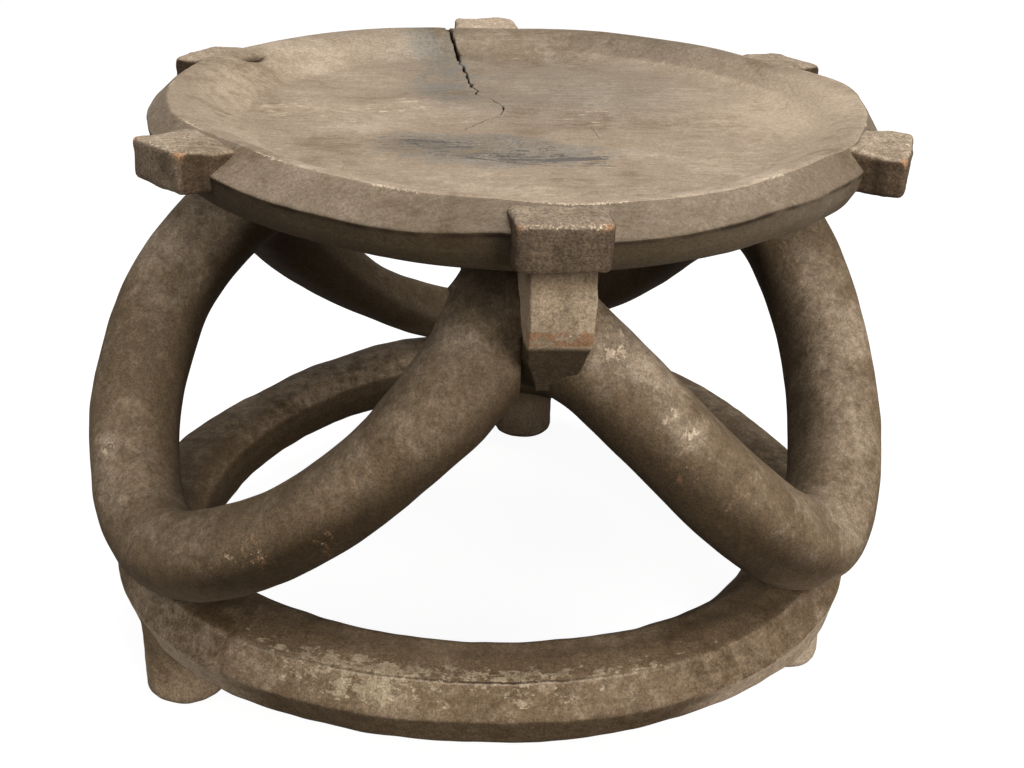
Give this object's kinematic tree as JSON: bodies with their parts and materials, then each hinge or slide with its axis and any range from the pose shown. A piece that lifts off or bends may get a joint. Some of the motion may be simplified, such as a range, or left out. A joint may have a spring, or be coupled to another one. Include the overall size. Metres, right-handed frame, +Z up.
{
  "type": "carved stool",
  "caption": "Low round stool carved from one block of dark wood: dished seat with square rim lugs, looping round legs that meet in Vs, a base ring and short round feet.",
  "frame": {"origin": "on the floor, under the middle of the stool's bounding box", "axes": "+Z up; -Y towards the front knuckle and front rim lug; +X to the right as seen from the front"},
  "size_m": [0.56, 0.533, 0.3872],
  "materials": {
    "seat": "hand-carved, worn smooth, grey-brown patina",
    "rim_block": "hand-carved, orange-brown where the corners are rubbed",
    "knuckle": "hand-carved, grey-brown patina",
    "leg_loop": "hand-carved, rubbed, dull dark brown",
    "base_ring": "hand-carved in facets, dark brown with flaked paler patches",
    "foot": "hand-carved, dark and dull"
  },
  "bodies": {
    "root": {"seat": "seat", "rim_block_front": "rim_block", "rim_block_right": "rim_block", "rim_block_back_right": "rim_block", "rim_block_back": "rim_block", "rim_block_back_left": "rim_block", "rim_block_left": "rim_block", "knuckle_front": "knuckle", "knuckle_back_right": "knuckle", "knuckle_back_left": "knuckle", "leg_loop_right": "leg_loop", "leg_loop_back": "leg_loop", "leg_loop_left": "leg_loop", "base_ring": "base_ring", "foot_left": "foot", "foot_right": "foot", "foot_back": "foot"}
  },
  "joints": []
}
